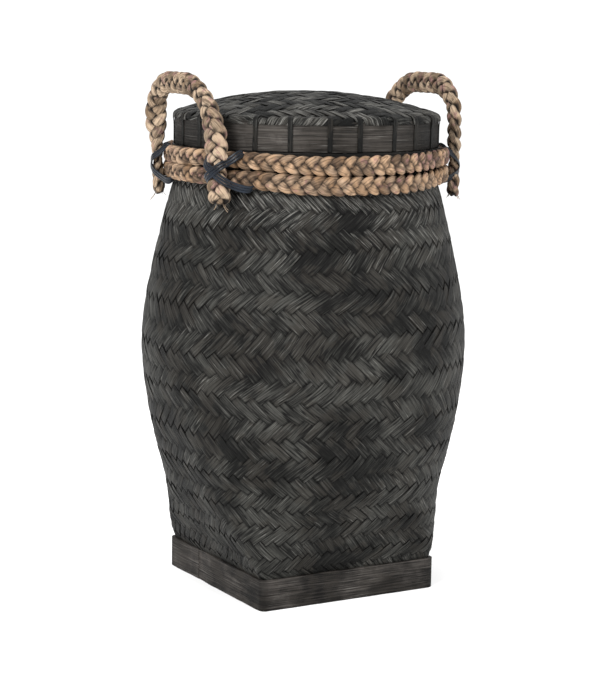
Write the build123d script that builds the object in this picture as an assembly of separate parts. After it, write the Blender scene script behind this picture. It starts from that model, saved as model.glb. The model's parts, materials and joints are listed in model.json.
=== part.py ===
"""Lidded storage basket of black stained bamboo, with braided rope round its neck and two rope handles.

The wall is woven in one piece from a square foot to a round mouth. A bent bamboo slat makes the foot, two
slats cross under the floor, and a hoop outside and a collar inside stiffen the mouth. Two turns of braided
rope lie on the neck hoop, and crossed ties hold the legs of each rope handle to them. The lid is a woven
dome on two hoops, bound by thin strips, and it drops over the collar.

Frame: millimetres, +Z up, origin at the middle of the foot on the floor, handles at +X and -X.
"""

import os
from math import atan, cos, hypot, radians, sin, tan

from build123d import *

# Foot
FOOT_SIDE = 220.0
FOOT_HEIGHT = 34.0
FOOT_SLAT = 4.0
FOOT_BEND = 4.0
FOOT_SCARF_PLACE = 54.0

# Woven wall and floor
WALL = 3.0
WALL_CORNER = 8.0
FLOOR_Z = 8.0
LEDGE_RISE = 6.0
KNEE_Z = 112.0
KNEE_FLAT = 35.0
BELLY_Z = 283.0
BELLY_RADIUS = 180.0
FLARE_POWER = 1.58
SHOULDER_POWER = 1.35
LEAST_FLAT = 0.4
FLARE_SECTIONS = 12
SHOULDER_SECTIONS = 8

# Slats crossed under the floor
BRACE_WIDTH = 24.0
BRACE_SLAT = 3.0

# Neck and mouth
MOUTH_Z = 489.2
NECK_RADIUS = 143.7
NECK_HEIGHT = 33.0
NECK_HOOP_SLAT = 3.0
NECK_SCARF_TURN = 100.0
COLLAR_SLAT = 3.0
COLLAR_RISE = 18.0
COLLAR_DEPTH = 32.0
COLLAR_SCARF_TURN = 60.0

# Two turns of rope round the neck hoop
ROPE_DEPTH = 9.4
ROPE_HEIGHT = 18.2
ROPE_GAP = 0.4

# Rope handles, laid out in a plane that leans out from the lashings
LEG_ANGLE = 25.0
LEG_SEAT = 0.4
LEG_SPREAD = 1.5
HANDLE_WIDTH = 27.0
HANDLE_DEPTH = 13.0
HANDLE_LEAN = 3.5
HANDLE_RISE = 86.0
HANDLE_TOP_HALF = 68.0
HANDLE_TOP_FLAT = 12.0
TAIL_DROP = 36.0
HINGE_RISE = 29.0
FOLD_LIMIT = 70.0

# Crossed ties at the handle legs
TIE_WIDTH = 8.0
TIE_SLAT = 1.4
TIE_ANGLE = 45.0
TIE_CLEARANCE = 1.0
TIE_CROSSING = 1.7
TIE_BEND = 5.0

# Lid
LID_STEP = 0.9
LID_HOOP_SLAT = 3.4
LID_HOOP_HEIGHT = 31.0
LID_SCARF_TURN = 75.0
LID_INNER_SLAT = 3.4
LID_INNER_HEIGHT = 11.0
LID_INNER_SCARF_TURN = 40.0
LID_PANEL = 2.5
LID_DOME_RISE = 24.0
LID_EDGE_INSET = 0.6
LID_EDGE_FLAT = 7.0
BINDING_COUNT = 24
BINDING_WIDTH = 4.4
BINDING_SLAT = 0.8
BINDING_REACH = 6.0
BINDING_FOOT = 3.0

# Clearances and slat ends
FIT = 0.2
SOFT_FIT = 0.3
FOOT_ROOM = 0.5
SCARF_GAP = 0.4
SCARF_TURN = 35.0
PAST = 1.0

# Sizes that follow from the ones above
FOOT_HALF = FOOT_SIDE / 2
FOOT_ROOM_SIDE = FOOT_SIDE - 2 * FOOT_SLAT
WALL_HALF = FOOT_HALF - FOOT_SLAT - FOOT_ROOM
LEDGE_Z = FOOT_HEIGHT + LEDGE_RISE
NECK_Z = MOUTH_Z - NECK_HEIGHT
NECK_HOOP_RADIUS = NECK_RADIUS + FIT + NECK_HOOP_SLAT
COLLAR_RADIUS = NECK_RADIUS - WALL - FIT
ROPE_RADIUS = NECK_HOOP_RADIUS + SOFT_FIT + ROPE_DEPTH / 2
ROPE_OUTER = ROPE_RADIUS + ROPE_DEPTH / 2
UPPER_ROPE_Z = MOUTH_Z - ROPE_HEIGHT / 2
LOWER_ROPE_Z = UPPER_ROPE_Z - ROPE_HEIGHT - ROPE_GAP
LASHING_Z = (UPPER_ROPE_Z + LOWER_ROPE_Z) / 2
LEG_TURN = radians(LEG_ANGLE)
LEG_OUT = hypot(HANDLE_DEPTH / 2 * cos(LEG_TURN), HANDLE_WIDTH / 2 * sin(LEG_TURN))
LEG_ACROSS = hypot(HANDLE_WIDTH / 2 * cos(LEG_TURN), HANDLE_DEPTH / 2 * sin(LEG_TURN))
LEG_RADIUS = ROPE_OUTER + LEG_OUT + LEG_SEAT
LEG_X = LEG_RADIUS * cos(LEG_TURN)
LEG_Y = LEG_RADIUS * sin(LEG_TURN)
LID_RADIUS = NECK_HOOP_RADIUS - LID_STEP
LID_Z = MOUTH_Z + BINDING_SLAT
LID_EDGE_Z = LID_Z + LID_HOOP_HEIGHT
PANEL_RADIUS = LID_RADIUS - LID_EDGE_INSET
REACH = 2 * FOOT_SIDE + 2 * BELLY_RADIUS


def wall_half_width(z):
    """Half width of the woven wall: a power curve out to the belly, and one back to the neck."""
    if z <= BELLY_Z:
        share = (BELLY_Z - z) / (BELLY_Z - LEDGE_Z)
        return BELLY_RADIUS - (BELLY_RADIUS - FOOT_HALF) * share**FLARE_POWER
    share = (z - BELLY_Z) / (NECK_Z - BELLY_Z)
    return BELLY_RADIUS - (BELLY_RADIUS - NECK_RADIUS) * share**SHOULDER_POWER


def wall_flat(z):
    """Half the straight run of each side: it shrinks fast up to the knee, then slowly up to the belly."""
    if z <= KNEE_Z:
        share = (KNEE_Z - z) / (KNEE_Z - LEDGE_Z)
        return KNEE_FLAT + (FOOT_HALF - WALL_CORNER - KNEE_FLAT) * share
    share = (BELLY_Z - z) / (BELLY_Z - KNEE_Z)
    return max(KNEE_FLAT * share, LEAST_FLAT)


def wall_section(z, inset):
    """The rounded square of the wall at height z, drawn in by inset."""
    half = wall_half_width(z) - inset
    return Pos(0, 0, z) * RectangleRounded(2 * half, 2 * half, half - wall_flat(z))


def foot_section(z, inset):
    """The rounded square of the wall inside the base hoop, drawn in by inset."""
    side = 2 * (WALL_HALF - inset)
    return Pos(0, 0, z) * RectangleRounded(side, side, WALL_CORNER - inset)


def wall_heights():
    """Section heights: even steps from the ledge over the foot to the belly, then on to the neck."""
    flare = (BELLY_Z - LEDGE_Z) / FLARE_SECTIONS
    shoulder = (NECK_Z - BELLY_Z) / SHOULDER_SECTIONS
    lower = [LEDGE_Z + flare * i for i in range(FLARE_SECTIONS)]
    return lower + [BELLY_Z + shoulder * i for i in range(SHOULDER_SECTIONS + 1)]


def wall_form(inset, low, high):
    """The solid inside the wall's face drawn in by inset: straight in the foot and at the neck."""
    foot = [foot_section(low, inset), foot_section(FOOT_HEIGHT, inset)]
    barrel = [wall_section(z, inset) for z in wall_heights()]
    neck = Pos(0, 0, high - NECK_Z) * wall_section(NECK_Z, inset)
    return loft([*foot, *barrel, neck], ruled=True)


def woven_wall():
    """The woven wall, open at the mouth and at the floor."""
    return wall_form(0, FLOOR_Z, MOUTH_Z) - wall_form(WALL, FLOOR_Z - PAST, MOUTH_Z + PAST)


def woven_floor():
    """The woven floor panel, a square inside the foot of the wall."""
    side = 2 * (WALL_HALF - WALL - FIT)
    return extrude(Pos(0, 0, FLOOR_Z) * RectangleRounded(side, side, WALL_CORNER - WALL), WALL)


def slat_ends(x, y, slat, low, high):
    """The thin slanted gap where the ends of a bent slat meet, at a place where the slat runs along Y."""
    gap = Box(4 * slat, SCARF_GAP, high - low + 2 * PAST)
    return Pos(x, y, (low + high) / 2) * Rot(0, 0, SCARF_TURN) * gap


def base_hoop():
    """The square foot: one slat bent at four corners, its ends meeting on the left side."""
    outside = RectangleRounded(FOOT_SIDE, FOOT_SIDE, FOOT_BEND + FOOT_SLAT / 2)
    inside = RectangleRounded(FOOT_ROOM_SIDE, FOOT_ROOM_SIDE, FOOT_BEND)
    hoop = extrude(outside - inside, FOOT_HEIGHT)
    return hoop - slat_ends(FOOT_SLAT / 2 - FOOT_HALF, FOOT_SCARF_PLACE, FOOT_SLAT, 0, FOOT_HEIGHT)


def floor_brace(top, turn):
    """One slat laid corner to corner under the floor, its ends pointed to fit the corners of the foot."""
    slat = Rot(0, 0, turn) * Box(REACH, BRACE_WIDTH, BRACE_SLAT)
    side = FOOT_ROOM_SIDE - 2 * SOFT_FIT
    room = extrude(RectangleRounded(side, side, FOOT_BEND), FOOT_HEIGHT)
    return (Pos(0, 0, top - BRACE_SLAT / 2) * slat) & room


def round_hoop(outer, slat, low, high, scarf_turn):
    """A flat slat bent into a round hoop, its ends meeting at scarf_turn degrees round it."""
    hoop = extrude(Pos(0, 0, low) * (Circle(outer) - Circle(outer - slat)), high - low)
    return hoop - Rot(0, 0, scarf_turn) * slat_ends(outer - slat / 2, 0, slat, low, high)


def neck_hoop():
    """The hoop outside the neck, which the rope lies on."""
    return round_hoop(NECK_HOOP_RADIUS, NECK_HOOP_SLAT, NECK_Z + FIT, MOUTH_Z, NECK_SCARF_TURN)


def mouth_collar():
    """The hoop inside the mouth, standing proud of it to locate the lid."""
    low = MOUTH_Z - COLLAR_DEPTH
    high = MOUTH_Z + COLLAR_RISE
    return round_hoop(COLLAR_RADIUS, COLLAR_SLAT, low, high, COLLAR_SCARF_TURN)


def neck_rope(z):
    """One turn of rope round the neck hoop."""
    section = Plane.XZ * Pos(ROPE_RADIUS, z) * Ellipse(ROPE_DEPTH / 2, ROPE_HEIGHT / 2)
    return revolve(section, Axis.Z)


def handle_plane(rise):
    """The right handle's plane at rise above the lashing: X along the basket, Y up the legs, Z outwards."""
    lean = radians(HANDLE_LEAN)
    place = Vector(LEG_X + rise * sin(lean), 0, LASHING_Z + rise * cos(lean))
    return Plane(place, x_dir=(0, 1, 0), z_dir=(cos(lean), 0, -sin(lean)))


def handle_rope():
    """The whole right handle, tails included: an oval section along two legs and a round arch."""
    foot_half = LEG_Y + LEG_SPREAD
    legs_lean = atan((foot_half - HANDLE_TOP_HALF) / (HANDLE_RISE + TAIL_DROP))
    bend = (HANDLE_TOP_HALF - HANDLE_TOP_FLAT / 2) / tan(radians(45) + legs_lean / 2)
    front = [(-foot_half, -TAIL_DROP), (-HANDLE_TOP_HALF, HANDLE_RISE)]
    rear = [(HANDLE_TOP_HALF, HANDLE_RISE), (foot_half, -TAIL_DROP)]
    path = handle_plane(0) * FilletPolyline(*front, *rear, radius=bend)
    section = Plane(path @ 0, x_dir=handle_plane(0).z_dir, z_dir=path % 0)
    return sweep(section * Ellipse(HANDLE_DEPTH / 2, HANDLE_WIDTH / 2), path=path)


def leg_end(radius):
    """A bar along the fold axis, which rounds the leg ends of the loop."""
    return handle_plane(HINGE_RISE) * Rot(0, 90, 0) * Cylinder(radius, REACH)


def above_fold():
    """The space above the fold axis, square to the handle's plane."""
    block = Box(REACH, REACH, REACH, align=(Align.CENTER, Align.MIN, Align.CENTER))
    return handle_plane(HINGE_RISE) * block


def fold_space():
    """The space outside the fold axis that the loop's legs turn into at the fold limit."""
    leg = Box(REACH, REACH, HANDLE_DEPTH + 2 * SOFT_FIT, align=(Align.CENTER, Align.MIN, Align.CENTER))
    return handle_plane(HINGE_RISE) * Rot(FOLD_LIMIT, 0, 0) * leg


def handle_loop():
    """The loop of the right handle, from the fold axis up, with its leg ends rounded about that axis."""
    return handle_rope() & (above_fold() + leg_end(HANDLE_DEPTH / 2))


def handle_tails():
    """The two leg ends of the right handle below the fold, front one first, clear of the folding loop."""
    room = above_fold() + leg_end(HANDLE_DEPTH / 2 + SOFT_FIT) + fold_space()
    return (handle_rope() - room).solids().sort_by(Axis.Y)


def tie(slant, lift):
    """One strip of a crossed tie at +X: over the leg and in over the upper and under the lower rope."""
    top = LEG_OUT + TIE_CLEARANCE + TIE_SLAT / 2 + lift
    ropes = (UPPER_ROPE_Z - LOWER_ROPE_Z + ROPE_HEIGHT + TIE_SLAT) / 2
    rise = sin(radians(TIE_ANGLE))
    run = cos(radians(TIE_ANGLE))
    end = (ropes + TIE_WIDTH / 2 * run + TIE_CLEARANCE) / rise
    rope_top = ROPE_RADIUS - LEG_RADIUS
    inner = NECK_HOOP_RADIUS + TIE_CLEARANCE - LEG_RADIUS
    leg_side = (LEG_ACROSS + TIE_CLEARANCE + TIE_WIDTH / 2 * rise) / run
    near = [(-end, inner), (-end, rope_top), (-leg_side, top)]
    far = [(leg_side, top), (end, rope_top), (end, inner)]
    strip = trace(FilletPolyline(*near, *far, radius=TIE_BEND), TIE_SLAT)
    along = Vector(0, cos(radians(slant)), sin(radians(slant)))
    across = along.cross(Vector(1, 0, 0))
    place = Plane((LEG_RADIUS, 0, LASHING_Z), x_dir=along, z_dir=across)
    return extrude(place * strip, TIE_WIDTH / 2, both=True)


def leg_lashing(turn):
    """The crossed tie of the leg at turn degrees round the neck: one strip over the other."""
    strips = [tie(TIE_ANGLE, 0), tie(-TIE_ANGLE, TIE_CROSSING)]
    return Compound(children=[Rot(0, 0, turn) * strip for strip in strips])


def lid_weave():
    """The woven lid panel: a shallow dome with a flat rim that lies on both lid hoops."""
    dome = PANEL_RADIUS - LID_EDGE_FLAT
    low = LID_EDGE_Z
    high = LID_EDGE_Z + LID_PANEL
    over = TangentArc((0, high + LID_DOME_RISE), (dome, high), tangent=(1, 0))
    rim = Polyline((dome, high), (PANEL_RADIUS, high), (PANEL_RADIUS, low), (dome, low))
    under = TangentArc((0, low + LID_DOME_RISE), (dome, low), tangent=(1, 0))
    middle = Line((0, low + LID_DOME_RISE), (0, high + LID_DOME_RISE))
    return revolve(Plane.XZ * make_face([over, rim, under, middle]), Axis.Z)


def lid_hoop():
    """The outer hoop of the lid, down to the mouth."""
    return round_hoop(LID_RADIUS, LID_HOOP_SLAT, LID_Z, LID_EDGE_Z, LID_SCARF_TURN)


def lid_inner_hoop():
    """The inner hoop of the lid, under the edge of the panel and above the collar."""
    outer = LID_RADIUS - LID_HOOP_SLAT - FIT
    low = LID_EDGE_Z - LID_INNER_HEIGHT
    return round_hoop(outer, LID_INNER_SLAT, low, LID_EDGE_Z, LID_INNER_SCARF_TURN)


def lid_binding():
    """One binding strip at +X: under the lid hoop, up its face and over the rim of the panel."""
    outer = LID_RADIUS + FIT / 2 + BINDING_SLAT
    face = outer - BINDING_SLAT
    high = LID_EDGE_Z + LID_PANEL
    foot_end = LID_RADIUS - BINDING_FOOT
    rim_end = LID_RADIUS - BINDING_REACH
    under = [(foot_end, LID_Z), (foot_end, MOUTH_Z), (outer, MOUTH_Z)]
    over = [(outer, high + BINDING_SLAT), (rim_end, high + BINDING_SLAT), (rim_end, high)]
    outline = Polyline(*under, *over, (face, high), (face, LID_Z), close=True)
    return extrude(Plane.XZ * make_face(outline), BINDING_WIDTH / 2, both=True)


def lid_bindings():
    """All the binding strips, evenly round the lid, with a gap over each handle."""
    turns = [360 * (i + 0.5) / BINDING_COUNT for i in range(BINDING_COUNT)]
    return Compound(children=[Rot(0, 0, turn) * lid_binding() for turn in turns])


def basket_parts():
    """Every piece of the basket by its name; the left handle is the right one turned half round."""
    half_turn = Rot(0, 0, 180)
    tails = handle_tails()
    loop = handle_loop()
    return {
        "woven_wall": woven_wall(),
        "woven_floor": woven_floor(),
        "base_hoop": base_hoop(),
        "floor_brace_upper": floor_brace(FLOOR_Z, 45),
        "floor_brace_lower": floor_brace(FLOOR_Z - BRACE_SLAT, -45),
        "neck_hoop": neck_hoop(),
        "mouth_collar": mouth_collar(),
        "neck_rope_upper": neck_rope(UPPER_ROPE_Z),
        "neck_rope_lower": neck_rope(LOWER_ROPE_Z),
        "right_front_tail": tails[0],
        "right_rear_tail": tails[1],
        "left_rear_tail": half_turn * tails[0],
        "left_front_tail": half_turn * tails[1],
        "right_front_lashing": leg_lashing(-LEG_ANGLE),
        "right_rear_lashing": leg_lashing(LEG_ANGLE),
        "left_rear_lashing": leg_lashing(180 - LEG_ANGLE),
        "left_front_lashing": leg_lashing(180 + LEG_ANGLE),
        "right_handle": loop,
        "left_handle": half_turn * loop,
        "lid_weave": lid_weave(),
        "lid_hoop": lid_hoop(),
        "lid_inner_hoop": lid_inner_hoop(),
        "lid_bindings": lid_bindings(),
    }


def main():
    """Write each piece to its own file."""
    os.makedirs("parts", exist_ok=True)
    for name, piece in basket_parts().items():
        export_step(piece, f"parts/{name}.step")


if __name__ == "__main__":
    main()
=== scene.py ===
"""Looks of a lidded basket of black stained bamboo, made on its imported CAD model.

Every piece is a strip, strand or slat: a small closed section carried along a path and worked out as whole
arrays. Strips cross in a twill, over three and under three; strands cross in three-strand braids.

Frame: metres, +Z up, origin at the middle of the foot on the floor, handles at +X and -X.
"""

import json
import math

import bpy
import numpy as np
from mathutils import Matrix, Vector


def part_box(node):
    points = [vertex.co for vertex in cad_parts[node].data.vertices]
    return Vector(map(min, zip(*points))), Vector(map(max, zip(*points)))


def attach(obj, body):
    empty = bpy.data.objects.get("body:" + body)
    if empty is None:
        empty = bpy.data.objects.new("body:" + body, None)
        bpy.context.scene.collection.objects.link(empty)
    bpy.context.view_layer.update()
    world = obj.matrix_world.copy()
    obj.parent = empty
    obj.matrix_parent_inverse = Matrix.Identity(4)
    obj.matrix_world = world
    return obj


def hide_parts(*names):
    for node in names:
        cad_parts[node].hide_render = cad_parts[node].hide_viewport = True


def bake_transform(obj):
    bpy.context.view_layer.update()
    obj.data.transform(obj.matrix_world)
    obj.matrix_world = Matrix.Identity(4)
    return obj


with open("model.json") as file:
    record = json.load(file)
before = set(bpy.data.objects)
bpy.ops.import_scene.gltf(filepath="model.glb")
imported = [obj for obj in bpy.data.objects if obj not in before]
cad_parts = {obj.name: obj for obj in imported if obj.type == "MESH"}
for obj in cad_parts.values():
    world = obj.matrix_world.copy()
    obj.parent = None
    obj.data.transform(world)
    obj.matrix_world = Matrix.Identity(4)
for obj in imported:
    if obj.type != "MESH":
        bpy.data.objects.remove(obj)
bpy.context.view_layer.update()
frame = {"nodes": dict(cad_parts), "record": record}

bl_info = {
    "name": "Lidded Bamboo Basket",
    "version": (1, 0, 0),
    "blender": (4, 5, 0),
    "location": "3D View > Sidebar > Basket",
    "description": "Weaves, braids and binds a lidded bamboo basket on its CAD frame",
    "category": "Mesh",
}

MM = 0.001
TURN = 2 * math.pi

# Crossings that a strip runs over, and then under
TWILL = 3
# Strands: the power that squares up their oval section, and the distance over which the painted shade of a
# crease fades
BOXY = 0.86
SHADE_FADE = 2.9 * MM
# Heights between which painted light grows on the weave's pale streaks, and between which the rope grows
# rosy, in metres
UPPER_LIGHT_LOW, UPPER_LIGHT_HIGH = 0.37, 0.45
ROSY_LOW, ROSY_HIGH = 0.462, 0.476

# Lapped slats: shares of the thickness by which the ends shift and thin
LAP = 0.08
LAP_THINNING = 0.45
# Round hoops: points along one, length of its lap, and the share of its way in which it thins
HOOP_POINTS = 360
HOOP_LAP = 14 * MM
HOOP_LAP_SHARE = 0.015
# The lid hoop: depth below the CAD face, and the bearings of its start and of its brightest painted
# highlight, in degrees
HOOP_INSET = 1.0 * MM
LID_HOOP_START = 75
LID_HIGHLIGHT_PLACE = -112
# The foot: points along its slat, radius of its corners, length of its lap and the lap's place on its side
FOOT_POINTS = 720
FOOT_BEND = 5 * MM
FOOT_LAP = 16 * MM
FOOT_LAP_PLACE = 54 * MM
# The slats under the floor: gap at their ends, half width, and half width at the tip
BRACE_GAP = 2 * MM
BRACE_WIDE = 12 * MM
BRACE_TIP = 2.5 * MM

# Braids: sections for each period of a ring, and points along a handle
RING_STEPS = 18
HANDLE_POINTS = 420
# Heights about the fold: where a handle's face turns from the neck, and where its first leg's lay comes
# and goes
FACE_TURN = (-5 * MM, 62 * MM)
LAY_FROM = (-18 * MM, 18 * MM)
LAY_TO = (24 * MM, 60 * MM)
# A tie strip: points along it, and the direction across its band, sideways and up
TIE_POINTS = 90
TIE_SIDE, TIE_UP = 0.57, 0.82

# Stage, in metres: half side and cells of the floor, its depth under the foot, and the height lights look at
FLOOR_HALF = 8.0
FLOOR_CELLS = 8
FLOOR_DEPTH = 0.2 * MM
LIGHT_AIM = 0.28

# The photograph's size and the camera that was fitted to it
PHOTO_LONG_SIDE = 695
SENSOR = 36.0
CAMERA_FOCUS = 2064.0


def corner_box(node):
    """Lowest and highest corner of a CAD node, as arrays."""
    low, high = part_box(node)
    return np.array(low), np.array(high)


def node_points(node):
    """All the points of a CAD node's mesh."""
    mesh = frame["nodes"][node].data
    points = np.empty(3 * len(mesh.vertices))
    mesh.vertices.foreach_get("co", points)
    return points.reshape(-1, 3)


def unit(vectors):
    """Vectors scaled to length one."""
    return vectors / np.linalg.norm(vectors, axis=-1, keepdims=True)


def chance(*keys):
    """A number from 0 to 1 for each set of whole-number keys: the fraction of a large sine of their sum."""
    mixed = sum(np.asarray(key) * factor for key, factor in zip(keys, (12.9898, 78.233, 37.719)))
    return np.mod(np.sin(mixed) * 43758.5453, 1.0)


def ease(low, high, value):
    """Smooth step from 0 at low to 1 at high."""
    share = np.clip((value - low) / (high - low), 0.0, 1.0)
    return share * share * (3 - 2 * share)


def running(steps):
    """Sums of the steps so far, from nothing."""
    return np.concatenate([[0.0], np.cumsum(steps)])


def bell(offset, width):
    """Bell curve: 1 where the offset is nothing, falling by the square of offset / width in its exponent."""
    return np.exp(-((offset / width) ** 2))


class Shell:
    """A closed skin: a section of K points at each of M places along a path.

    points is (M, K, 3). along and across are the UVs in metres, with one more column than the section, and
    one more row on a ring, so that no face runs back across the seam. tone is a value at points, and so is
    the painted lightness, which paints shade over the colour where it is below 1.
    """

    def __init__(self, points, along, across, tone, painted_lightness, ring=False):
        rows, cols = points.shape[:2]
        grid = (rows + 1 if ring else rows, cols + 1)
        self.points = points
        self.uv = np.stack([np.broadcast_to(along, grid), np.broadcast_to(across, grid)], axis=-1)
        self.tone = np.broadcast_to(tone, (rows, cols))
        self.painted_lightness = np.broadcast_to(painted_lightness, (rows, cols))
        self.ring = ring

    def faces(self):
        """Lists of (point numbers, UV numbers): quads between neighbouring sections, then the two ends."""
        rows, cols = self.points.shape[:2]
        quad_rows = rows if self.ring else rows - 1
        row, col = np.meshgrid(np.arange(quad_rows), np.arange(cols), indexing="ij")
        rows_at = np.stack([row, row, row + 1, row + 1], axis=-1).reshape(-1, 4)
        cols_at = np.stack([col, col + 1, col + 1, col], axis=-1).reshape(-1, 4)
        faces = [(rows_at % rows * cols + cols_at % cols, rows_at * (cols + 1) + cols_at)]
        if not self.ring:
            start = np.arange(cols)[::-1].reshape(1, -1)
            end = np.arange(cols).reshape(1, -1)
            faces.append((start, start))
            faces.append(((rows - 1) * cols + end, (rows - 1) * (cols + 1) + end))
        flat = self.points.reshape(-1, 3) - self.points.reshape(-1, 3).mean(axis=0)
        volume = sum(fan_volume(flat[corners]) for corners, _ in faces)
        if volume < 0:
            faces = [(corners[:, ::-1], marks[:, ::-1]) for corners, marks in faces]
        return faces


def fan_volume(faces):
    """Signed volume between the origin and faces (n, corners, 3), each cut into a fan of triangles."""
    first, second, third = faces[:, :1], faces[:, 1:-1], faces[:, 2:]
    return np.einsum("nij,nij->", np.broadcast_to(first, second.shape), np.cross(second, third))


def skin_mesh(name, shells):
    """One mesh of several shells, with its UV map and the values tone and crease on its points."""
    points, tones, painted_lightnesses, corners, starts, marks = [], [], [], [], [], []
    point_count = 0
    corner_count = 0
    for shell in shells:
        uv = shell.uv.reshape(-1, 2)
        for face_points, face_marks in shell.faces():
            sides = face_points.shape[1]
            corners.append(face_points.ravel() + point_count)
            marks.append(uv[face_marks.ravel()])
            starts.append(corner_count + sides * np.arange(len(face_points)))
            corner_count += face_points.size
        points.append(shell.points.reshape(-1, 3))
        tones.append(shell.tone.ravel())
        painted_lightnesses.append(shell.painted_lightness.ravel())
        point_count += len(points[-1])
    starts = np.concatenate(starts)
    if not np.isfinite(np.concatenate(points)).all() or not np.isfinite(np.concatenate(marks)).all():
        raise RuntimeError(f"{name} has points or marks that are not numbers")
    mesh = bpy.data.meshes.new(name)
    mesh.vertices.add(point_count)
    mesh.vertices.foreach_set("co", np.concatenate(points).ravel())
    mesh.loops.add(corner_count)
    mesh.loops.foreach_set("vertex_index", np.concatenate(corners))
    mesh.polygons.add(len(starts))
    mesh.polygons.foreach_set("loop_start", starts)
    mesh.polygons.foreach_set("use_smooth", np.ones(len(starts), dtype=bool))
    mesh.uv_layers.new(name="UVMap").data.foreach_set("uv", np.concatenate(marks).ravel())
    for value, lists in (("tone", tones), ("painted_lightness", painted_lightnesses)):
        layer = mesh.attributes.new(value, "FLOAT", "POINT")
        layer.data.foreach_set("value", np.concatenate(lists))
    mesh.update(calc_edges=True)
    if mesh.validate():
        raise RuntimeError(f"the faces of {name} are not clean")
    return mesh


def add_piece(name, shells, slot, nodes):
    """A new object of these shells that stands for CAD nodes and takes the finish of a material slot."""
    piece = bpy.data.objects.new(name, skin_mesh(name, shells))
    bpy.context.scene.collection.objects.link(piece)
    piece.data.materials.append(finish_of(slot))
    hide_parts(*nodes)
    return piece


def strap_section(half_width, half_thick, easing):
    """Twelve points round a flat strap: each corner is cut by three points, easing from its tip."""
    steps = np.array([[0, 1.0], [0.29, 0.29], [1.0, 0]])
    tips = np.array([[1, 1], [-1, 1], [-1, -1], [1, -1]])
    cuts = np.stack([steps, steps[::-1], steps, steps[::-1]])
    widths = half_width[:, None, None] - easing * cuts[None, :, :, 0]
    thicks = half_thick[:, None, None] - easing * cuts[None, :, :, 1]
    flat = (len(half_width), 12)
    return (widths * tips[:, None, 0]).reshape(flat), (thicks * tips[:, None, 1]).reshape(flat)


def path_lengths(path, ring=False):
    """Distance along a path at each of its points, and back at the first one for a ring."""
    closed = np.concatenate([path, path[:1]]) if ring else path
    return running(np.linalg.norm(np.diff(closed, axis=0), axis=1))


def path_headings(path, ring=False):
    """Unit tangent at each point of a path, by central differences."""
    if ring:
        return unit(np.roll(path, -1, axis=0) - np.roll(path, 1, axis=0))
    return unit(np.gradient(path, axis=0))


def section_points(path, side, face, wide, thick):
    """A section at each point of a path, its points wide along side and thick along face."""
    return path[:, None] + side[:, None] * wide[..., None] + face[:, None] * thick[..., None]


def strap(path, out, half_width, half_thick, easing, tone=0.5, painted_lightness=1.0):
    """A flat strap along a path: its flat face looks along out, and its width lies square to path and out."""
    count = len(path)
    width = np.broadcast_to(half_width, count)
    wide, thick = strap_section(width, np.broadcast_to(half_thick, count), easing)
    heading = path_headings(path)
    side = unit(np.cross(out, heading))
    points = section_points(path, side, np.cross(heading, side), wide, thick)
    across = np.concatenate([wide, wide[:, :1]], axis=1)
    return Shell(points, path_lengths(path)[:, None], across, tone, painted_lightness)


def smooth_path(corners, count, rounds=4):
    """Corner cutting: each round replaces a corner by the quarter points beside it. Then count even steps."""
    points = np.asarray(corners, dtype=float)
    for _ in range(rounds):
        near = 0.75 * points[:-1] + 0.25 * points[1:]
        far = 0.25 * points[:-1] + 0.75 * points[1:]
        cut = np.stack([near, far], axis=1).reshape(-1, points.shape[1])
        points = np.concatenate([points[:1], cut, points[-1:]])
    lengths = path_lengths(points)
    even = np.linspace(0, lengths[-1], count)
    return np.stack([np.interp(even, lengths, axis) for axis in points.T], axis=-1)


def turned(points, angle):
    """Points turned about Z."""
    x, y, z = np.moveaxis(points, -1, 0)
    cos, sin = np.cos(angle), np.sin(angle)
    return np.stack([x * cos - y * sin, x * sin + y * cos, z], axis=-1)


def rounded_square(share, half, flat):
    """A point on a rounded square by its share of the way round from +X.

    Each quarter runs straight for flat, round an arc of radius half - flat, and straight for flat again. The
    four quarters are turns of the first.
    """
    corner = half - flat
    quarter = np.floor(4 * share)
    run = (4 * share - quarter) * (2 * flat + math.pi / 2 * corner)
    bend = np.clip((run - flat) / corner, 0, math.pi / 2)
    x = flat + corner * np.cos(bend) - np.maximum(run - flat - math.pi / 2 * corner, 0)
    y = np.minimum(run, flat) + corner * np.sin(bend)
    turn = quarter * math.pi / 2
    return x * np.cos(turn) - y * np.sin(turn), x * np.sin(turn) + y * np.cos(turn)


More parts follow.
